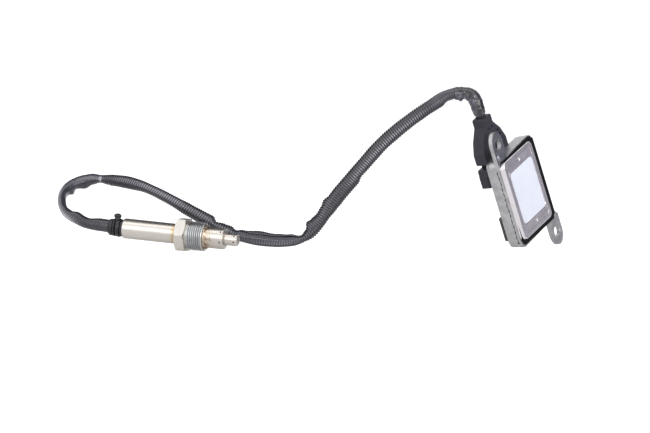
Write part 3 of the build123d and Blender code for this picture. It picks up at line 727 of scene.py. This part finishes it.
crimp_form = bmesh.new()
bmesh.ops.create_cube(crimp_form, size=0.001, matrix=Matrix.Diagonal((*crimp_size, 1)))
soften(crimp_form, 0.00005)
near_side = probe_turn.inverted() @ (front - probe_axis * front.dot(probe_axis))
crimp_turn = Matrix.Rotation(math.atan2(near_side.y, near_side.x), 4, "Z")
crimp_form.transform(
    probe_place @ crimp_turn @ Matrix.Translation(crimp_middle)
    @ Matrix.Rotation(crimp_slant, 4, "X"))
crimp = piece_from(crimp_form, "crimp_mark", "sensor")
# The bar's brownish dark colour is painted shade of the crimp.
paint(finish("crimp painted shade", "5d5247", "6b5f53", (0.4, 0.5), 0.6, 300, 0.0), crimp)


# %% [markdown]
# Loom, tape, boot, tie and housing are five dark plastics that differ in their shine: the tape is
# the glossiest, and the rubber and the housing are the dullest. Loom and tape also follow the tone
# that their sheets carry, which is painted light and shade. Where it is under one the finish is
# multiplied by a dark code, which is painted shade, and over one it is mixed with a light code,
# which is painted highlight, so the shade in the grooves and the streaks and glints come from one
# attribute.

# %% Plastics and rubber
def with_painted_light_and_shade(material, low_code, high_code):
    """Paints shade with a dark code where the tone attribute is under one, and paints light with a light
    code over one.
    """
    tree = material.node_tree
    shader = tree.nodes["Principled BSDF"]
    source = shader.inputs["Base Color"].links[0].from_socket
    tone = add(tree, "Attribute", {"attribute_name": "tone"})
    low = add(tree, "Math", {"operation": "SUBTRACT"}, {0: 1.0}, {1: tone.outputs["Fac"]})
    dark = add(tree, "Mix", {"data_type": "RGBA", "blend_type": "MULTIPLY"}, {
        "B": (*colour(low_code), 1)}, {"Factor": low.outputs[0], "A": source})
    high = add(tree, "Math", {"operation": "SUBTRACT"}, {1: 1.0}, {0: tone.outputs["Fac"]})
    light = add(tree, "Mix", {"data_type": "RGBA"}, {"B": (*colour(high_code), 1)}, {
        "Factor": high.outputs[0], "A": dark.outputs["Result"]})
    tree.links.new(light.outputs["Result"], shader.inputs["Base Color"])
    return material


# For the loom and the tape the first code is painted shade and the second painted highlight.
loom_plastic = with_painted_light_and_shade(
    finish("loom plastic", "2f2f38", "3c3c46", (0.2, 0.3), 0.0, 320, 0.04, Specular_IOR_Level=0.7),
    "4a4a50", "d2d1d8")
tape = with_painted_light_and_shade(
    finish("cable tape", "3a3a43", "5c5b68", (0.14, 0.28), 0.0, 190, 0.2, Specular_IOR_Level=0.8),
    "3c3c44", "9c9ca6")
rubber = finish("boot rubber", "17171b", "212126", (0.35, 0.5), 0.0, 600, 0.06)
nylon = finish("tie nylon", "131317", "1d1d22", (0.25, 0.4), 0.0, 500, 0.03)
housing_plastic = finish(
    "housing plastic", "24232b", "302f39", (0.36, 0.5), 0.0, 400, 0.08, Specular_IOR_Level=0.4)
paint(loom_plastic, conduit)
paint(tape, cable_tail)
paint(rubber, "rubber_grommet", "cable_seal")

# %% [markdown]
# The two halves of the connector housing are moulded, so their edges are slightly round and catch
# the light. A bevel on a merged copy of each solid gives that with no new modelling.

# %% Rounded halves of the connector housing
housing = []
for node in ("connector_body", "cable_clamp_shell"):
    form = merged_form(node)
    soften(form, 0.0005)
    housing.append(piece_from(form, node + "_soft", "sensor", [node]))
paint(housing_plastic, *housing)

# %% [markdown]
# The boot is a row of soft rings with deep grooves between them. It is round, so an outline turned
# once round the probe's axis gives it whole, and the roundness of each ring is in the outline.

# %% Boot rings
ring_steps = 56


def turned(form, outline):
    """Adds the ring turned from a closed outline of (station, radius) in millimetres."""
    corners = [form.verts.new((radius / 1000, 0, station / 1000)) for station, radius in outline]
    sides = [form.edges.new(pair) for pair in zip(corners, corners[1:] + corners[:1])]
    bmesh.ops.spin(
        form, geom=corners + sides, cent=(0, 0, 0), axis=(0, 0, 1), angle=2 * math.pi,
        steps=ring_steps, use_merge=True)


boot_form = bmesh.new()
turned(boot_form, [
    (-59.4, 4.4), (-59.4, 5.3), (-59.0, 5.7), (-58.0, 5.9), (-56.7, 5.95), (-56.2, 5.7), (-56.0, 5.2),
    (-55.8, 5.8), (-55.4, 6.25), (-54.9, 6.3), (-54.45, 6.05), (-54.3, 4.9), (-53.9, 4.7), (-50.7, 4.7),
    (-50.5, 5.6), (-50.2, 5.9), (-49.6, 6.05), (-48.9, 6.0), (-48.6, 5.6), (-48.6, 4.4)])
bmesh.ops.recalc_face_normals(boot_form, faces=boot_form.faces)
boot_form.transform(probe_place)
boot = piece_from(boot_form, "boot_rings", "sensor", ["end_boot"], 60)
paint(rubber, boot)

# %% [markdown]
# The tie's strap lies in one of the grooves and is turned in the same way. Its head stands out
# from it, a flattened ball on a short neck, at the side where the solid's head is. The middle of
# the solid's points tells that side, because only the head pulls it off the axis.

# %% Tie round the boot
neck_middle = (0.0071, 0, -0.054)
ball_middle = (0.0082, 0, -0.0541)
ball_half_sizes = (1.8, 2.5, 2.7)

tie_points = [vertex.co for vertex in frame["nodes"]["boot_tie"].data.vertices]
tie_middle = probe_place.inverted() @ (sum(tie_points, Vector()) / len(tie_points))
tie_form = bmesh.new()
turned(tie_form, [
    (-53.75, 4.8), (-53.75, 5.8), (-53.4, 6.3), (-52.6, 6.5), (-51.6, 6.45), (-51.0, 6.2),
    (-50.75, 5.7), (-50.75, 4.8)])
head_turn = Matrix.Rotation(math.atan2(tie_middle.y, tie_middle.x), 4, "Z")
bmesh.ops.create_cone(
    tie_form, cap_ends=True, segments=20, radius1=0.0023, radius2=0.0019, depth=0.003,
    matrix=head_turn @ Matrix.Translation(neck_middle) @ Matrix.Rotation(math.pi / 2, 4, "Y"))
bmesh.ops.create_uvsphere(
    tie_form, u_segments=28, v_segments=18, radius=0.001,
    matrix=head_turn @ Matrix.Translation(ball_middle) @ Matrix.Diagonal((*ball_half_sizes, 1)))
bmesh.ops.recalc_face_normals(tie_form, faces=tie_form.faces)
tie_form.transform(probe_place)
tie = piece_from(tie_form, "tie_strap", "sensor", ["boot_tie"], 50)
paint(nylon, tie)

# %% [markdown]
# The can is pressed from matt grey sheet and the cover from bright sheet, the label is a pale film
# and the compound is black. The upper ear and the depths of the housing's key dots look darker
# than the metal and plastic that they belong to, so they get finishes of their own, which are
# painted shade.

# %% Metals and films of the module
can_metal = finish("can metal", "a3a2a3", "c4c3c3", (0.36, 0.5), 1.0, 180, 0.04)
# The upper ear's darker metal is painted shade, standing in for the dark reflection on its face.
ear_painted_shade = finish("ear painted shade", "74767c", "8c8e94", (0.3, 0.42), 1.0, 180, 0.04)
cover_metal = finish("cover metal", "dedadd", "e8e4e7", (0.18, 0.24), 1.0, 120, 0.0)
label_film = finish("label film", "e8ecf8", "eff2fc", (0.4, 0.5), 0.0, 60, 0.0)
potting = finish(
    "potting compound", "030304", "070708", (0.25, 0.45), 0.0, 350, 0.2, Specular_IOR_Level=0.12)
hole_shade = finish(
    "hole shade", "030304", "050506", (0.8, 0.9), 0.0, 400, 0.0, Specular_IOR_Level=0.05)
paint(label_film, "blank_label")

# %% [markdown]
# The module stands turned to the camera, so its pieces are easiest to shape in its own axes: X
# across the cover, Y up along it and Z out of its face. Two helpers bring a copy of a solid into
# these axes and, when it is shaped, back to its place as a finished piece.

# %% Axes of the module
across = Vector((0.46285, 0.80159, 0.37845))
upward = Vector((-0.27948, -0.27320, 0.92046))
outward = Vector((0.841228, -0.531802, 0.097583))
module_place = Matrix.Translation((0.125785, 0.018986, 0.039182)) @ Matrix(
    (across, upward, outward)).transposed().to_4x4()


def module_form(node):
    """Merged copy of a solid, moved into the module's axes."""
    form = merged_form(node)
    form.transform(module_place.inverted())
    return form


def module_piece(form, name, width, node, material, least=30):
    """Puts a form back in its place, rounds it, and makes it the painted piece for a solid."""
    form.transform(module_place)
    soften(form, width, least)
    piece = piece_from(form, name, "sensor", [node])
    paint(material, piece)
    return piece


print("cover faces", [round(value, 3) for value in outward])

# %% [markdown]
# The can is pressed, so its edges are round. Its back stands a little further out than the solid's
# and its lower corner a little lower, as the picture shows, and moving the vertices of the copy is
# enough for that. Three cuts then part the face of the upper ear from the rest of the rim, so that
# painted shade, a darker finish, can be laid on it alone.

# %% Module can and the painted shade on its ear
can_back_level = 0.0012
can_back_out = 0.0013
corner_line = -0.0305
corner_right = 0.014
corner_drop = 0.0012
ear_line = 0.0285
ear_top = 0.0325
ear_side = -0.012
ear_level = 0.005
ear_cuts = [
    ((0, ear_top, 0), (0, 1, 0)), ((0, ear_line, 0), (0, 1, 0)), ((ear_side, 0, 0), (1, 0, 0))]

can_form = module_form("module_can")
for vertex in can_form.verts:
    if vertex.co.z < can_back_level:
        vertex.co.z -= can_back_out
    if vertex.co.y < corner_line and vertex.co.x < corner_right:
        vertex.co.y -= corner_drop
for line, facing in ear_cuts:
    cut(can_form, line, facing)
module_can = module_piece(
    can_form, "module_can_soft", 0.0004, "module_can", can_metal)


def second_paint(piece, material, chosen):
    """Gives the faces that are chosen by centre and direction in module axes another material."""
    piece.data.materials.append(material)
    inward = module_place.inverted()
    count = 0
    for face in piece.data.polygons:
        if chosen(inward @ face.center, inward.to_3x3() @ face.normal):
            face.material_index = 1
            count += 1
    print(piece.name, count, "faces of", material.name)


# The ear's face gets the darker metal as painted shade.
second_paint(module_can, ear_painted_shade, lambda centre, facing: (
    centre.y > ear_line and centre.x < ear_side + 0.002 and centre.z > ear_level
    and facing.z > 0.7))

# %% [markdown]
# The housing has four shallow round dots, and all of them look black. A hole so shallow lets light
# in, so the same helper lays painted shade, a black finish, on the floors and walls of the dots.

# %% Painted shade in the key dots of the housing
key_dots = [(-7.7, 52.25), (-3.3, 52.25), (2.45, 47.15), (3.7, 43.6)]
dot_radius = 0.00125
dot_floor = -0.0026

second_paint(housing[0], hole_shade, lambda centre, facing: centre.z > dot_floor and any(
    math.hypot(centre.x - x / 1000, centre.y - y / 1000) < dot_radius for x, y in key_dots))

# %% [markdown]
# A foam pad is stuck to the back of the can, and a thin dark strip of it shows past the can's left
# edge. The copy of the solid is pulled out to the back and to the left until that strip shows.

# %% Rear pad
pad_back_level = -0.001
pad_back_out = 0.0011
pad_left_line = -0.02
pad_left_out = 0.0019

pad_form = module_form("rear_pad")
for vertex in pad_form.verts:
    if vertex.co.z < pad_back_level:
        vertex.co.z -= pad_back_out
    if vertex.co.x < pad_left_line:
        vertex.co.x -= pad_left_out
pad_foam = finish("pad foam", "3d3838", "4c4646", (0.6, 0.8), 0.0, 500, 0.1)
module_piece(pad_form, "rear_pad_soft", 0.0003, "rear_pad", pad_foam)

# %% [markdown]
# A thin line of compound is squeezed out along the can's left wall, behind the rim. It wanders and
# swells, so it is a tube rolled round a wavy line, with the helpers that made the loom.

# %% Line of compound along the left wall
seam_steps = 57
seam_step = 0.001
seam_level = 0.0079
seam_wander = 0.00035
seam_wall = -0.02586
seam_foot = -0.03
seam_radius = 0.00038
seam_swell = 0.0001
seam_wave = 1500

seam_points = []
for step in range(seam_steps):
    level = seam_level + seam_wander * math.sin(step * 0.9) * math.sin(step * 0.37)
    seam_points.append(module_place @ Vector((seam_wall, seam_foot + step * seam_step, level)))


def seam_profile(distance, turn):
    """Offsets and tone of the line of compound, which swells and thins along its way."""
    radius = seam_radius + seam_swell * math.sin(distance * seam_wave)
    return radius * math.cos(2 * math.pi * turn), radius * math.sin(2 * math.pi * turn), 0.5


seam = rolled_tube("seam_bead", stations(seam_points, 0.0007), 8, seam_profile)
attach(seam, "sensor")
paint(potting, seam)

# %% [markdown]
# The cover's left wall slopes out over the can's rim and hides the compound there. One cut at the
# level of the rim gives the wall a foot, and the foot is drawn out by a share that grows smoothly
# to the left and shrinks again towards the top corner.

# %% Cover plate with its flared wall
rim_level = 0.0094
flare_start = -0.0135
flare_run = 0.008
flare_reach = 0.0027
corner_start = 0.025
corner_run = 0.004
corner_loss = 0.6

cover_form = module_form("cover_plate")
cut(cover_form, (0, 0, rim_level), (0, 0, 1))
for vertex in cover_form.verts:
    if vertex.co.z < rim_level + 0.0001:
        share = min(1.0, max(0.0, (flare_start - vertex.co.x) / flare_run))
        share = share * share * (3 - 2 * share)
        share *= 1 - corner_loss * min(1.0, max(0.0, (vertex.co.y - corner_start) / corner_run))
        vertex.co.x -= flare_reach * share
module_piece(
    cover_form, "cover_plate_soft", 0.00025, "cover_plate", cover_metal, 25)

# %% [markdown]
# On the other three sides the compound has swollen out over the rim. The seal's upper vertices are
# raised there and its outer ones moved outwards, and the bevel rounds the swelling.

# %% Swollen compound
seal_level = 0.0092
seal_top = 0.0112
seal_out = 0.0014
seal_up = 0.001
right_part = 0.012
low_part = -0.024
side_line = 0.0238
end_line = 0.0305

seal_form = module_form("potting_seal")
for vertex in seal_form.verts:
    if vertex.co.z > seal_level and (vertex.co.x > right_part or vertex.co.y < low_part):
        vertex.co.z = seal_top
        if vertex.co.x > side_line:
            vertex.co.x += seal_out
        if vertex.co.y < -end_line:
            vertex.co.y -= seal_out
        if vertex.co.y > end_line:
            vertex.co.y += seal_up
module_piece(seal_form, "potting_swollen", 0.0004, "potting_seal", potting)

# %% [markdown]
# The pieces inside are hidden, but they show when the object is opened or cut. Plain finishes are
# enough for them: unglazed ceramic, pressed talc, green laminate, dark resin, brass and the red
# insulation of the wires.

# %% Inner pieces
ceramic = finish("white ceramic", "e6e3da", "efece5", (0.5, 0.7), 0.0, 800, 0.1)
talc = finish("pressed talc", "cfcabf", "dbd6cc", (0.8, 0.9), 0.0, 1200, 0.3)
laminate = finish("board laminate", "17452a", "1f5433", (0.35, 0.5), 0.0, 500, 0.1)
resin = finish("component resin", "19191b", "262629", (0.45, 0.6), 0.0, 900, 0.2)
brass = finish("contact metal", "b99c5e", "cdb277", (0.25, 0.4), 1.0, 800, 0.05)
insulation = finish("wire insulation", "8a3f2b", "a04c34", (0.45, 0.6), 0.0, 600, 0.08)
paint(ceramic, "sensing_element", "front_ceramic_bush", "rear_ceramic_bush", "contact_block")
paint(talc, "talc_seal")
paint(laminate, "circuit_board")
paint(resin, "board_parts")
paint(brass, "spring_contacts", "connector_pins")
paint(insulation, "lead_wires", "harness_wires")

# %% [markdown]
# The picture has a white ground, with only faint shadows where things touch. Stronger lamps would
# whiten the ground but bleach the object too. So the floor stays an ordinary pale surface for all
# light that bounces, and glows towards the camera and in reflections, so that it reads as white.

# %% Floor
def flat_sheet(name, width, depth):
    """Level sheet of a width and a depth, round the origin."""
    form = bmesh.new()
    bmesh.ops.create_grid(
        form, x_segments=1, y_segments=1, size=0.5, matrix=Matrix.Diagonal((width, depth, 1, 1)))
    mesh = bpy.data.meshes.new(name)
    form.to_mesh(mesh)
    form.free()
    sheet = bpy.data.objects.new(name, mesh)
    bpy.context.collection.objects.link(sheet)
    print(name, width, "by", depth, "m")
    return sheet


floor = flat_sheet("pale table", 60, 60)

floor_finish = bpy.data.materials.new("pale table")
floor_finish.use_nodes = True
tree = floor_finish.node_tree
tree.nodes.remove(tree.nodes["Principled BSDF"])
path = add(tree, "LightPath")
seen = add(tree, "Math", {"operation": "MAXIMUM"}, links={
    0: path.outputs["Is Camera Ray"], 1: path.outputs["Is Transmission Ray"]})
direct = add(tree, "Math", {"operation": "MULTIPLY"}, {1: 0.8}, {0: seen.outputs[0]})
strength = add(tree, "Math", {"operation": "MULTIPLY_ADD"}, {1: 0.35}, {
    0: path.outputs["Is Glossy Ray"], 2: direct.outputs[0]})
glow = add(tree, "Emission", links={"Strength": strength.outputs[0]})
matte = add(tree, "BsdfDiffuse", values={"Color": (0.55, 0.55, 0.56, 1)})
both = add(tree, "AddShader", links={0: glow.outputs[0], 1: matte.outputs[0]})
tree.links.new(both.outputs[0], tree.nodes["Material Output"].inputs["Surface"])
floor.data.materials.append(floor_finish)

# %% [markdown]
# The world is white to the camera too. For light and reflections it is white on the left and grows
# darker to the right, so that the steel and the cover show a change of tone across their faces,
# as they do among the walls of a studio. It lights the object at three quarters of its strength,
# and the lamps add the rest.

# %% World
world = bpy.data.worlds.new("studio")
bpy.context.scene.world = world
world.use_nodes = True
tree = world.node_tree
sky = tree.nodes["Background"]
path = add(tree, "LightPath")
direction = add(tree, "TexCoord")
parts = add(tree, "SeparateXYZ", links={"Vector": direction.outputs["Generated"]})
rightward = add(tree, "MapRange", values={"From Min": 0.35, "From Max": 0.8}, links={
    "Value": parts.outputs["X"]})
walls = add(tree, "Mix", {"data_type": "RGBA"}, {
    "A": (0.97, 0.97, 1.0, 1), "B": (0.31, 0.3, 0.35, 1)}, {"Factor": rightward.outputs[0]})
shown = add(tree, "Mix", {"data_type": "RGBA"}, {"B": (1, 1, 1, 1)}, {
    "Factor": path.outputs["Is Camera Ray"], "A": walls.outputs["Result"]})
tree.links.new(shown.outputs["Result"], sky.inputs["Color"])
seen = add(tree, "Math", {"operation": "MAXIMUM"}, links={
    0: path.outputs["Is Camera Ray"], 1: path.outputs["Is Glossy Ray"]})
dimmed = add(tree, "MapRange", values={"To Min": 0.75, "To Max": 1.0}, links={
    "Value": seen.outputs[0]})
tree.links.new(dimmed.outputs[0], sky.inputs["Strength"])
print("world", world.name, len(tree.nodes), "nodes")


# %% [markdown]
# Wide lamps give the soft shadows of the picture. The overhead one lights the tops, the front one
# the probe, and the side one the cover, which turns that way. The small one puts sharp glints on
# plastic and thread. Their powers stay low, because the world already gives much of the light.

# %% Lamps
def soft_lamp(name, place, aim, size, power):
    """Rectangular lamp of a size and a power, at a place and turned to an aim."""
    data = bpy.data.lights.new(name, "AREA")
    data.shape = "RECTANGLE"
    data.size, data.size_y = size
    data.energy = power
    lamp = bpy.data.objects.new(name, data)
    lamp.location = place
    lamp.rotation_euler = (Vector(aim) - Vector(place)).to_track_quat("-Z", "Y").to_euler()
    bpy.context.collection.objects.link(lamp)
    print(name, power, "W")


soft_lamp("overhead softbox", (-0.1, -0.25, 1.2), (0, 0, 0.03), (1.6, 1.0), 5)
soft_lamp("front softbox", (-1.0, -1.25, 0.6), (-0.1, 0, 0.03), (1.1, 1.0), 5.2)
soft_lamp("side softbox", (1.1, -0.9, 0.35), (0.12, 0, 0.05), (0.9, 0.9), 9)
soft_lamp("small spot", (0.5, -1.6, 0.35), (0, 0, 0.05), (0.3, 0.3), 3)

# %% [markdown]
# Polished tubes among white walls look flat. A photographer holds a dark card near them, and its
# reflection draws a dark line along their tops. This card stands above and behind the probe. Only
# reflections see it: the camera, the bounced light and the shadows pass it by.

# %% Dark card
card = flat_sheet("dark card", 0.2, 0.19)
card.location = (-0.11, 0.035, 0.12)
card.rotation_euler = (math.radians(123), 0, 0)
card.visible_camera = False
card.visible_diffuse = False
card.visible_shadow = False
card_finish = bpy.data.materials.new("dark card")
card_finish.use_nodes = True
shader = card_finish.node_tree.nodes["Principled BSDF"]
shader.inputs["Base Color"].default_value = (0.06, 0.06, 0.065, 1)
shader.inputs["Roughness"].default_value = 0.9
card.data.materials.append(card_finish)

# %% [markdown]
# The Standard view shows a colour as it is written.

# %% Finish
scene = bpy.context.scene
scene.view_settings.view_transform = "Standard"
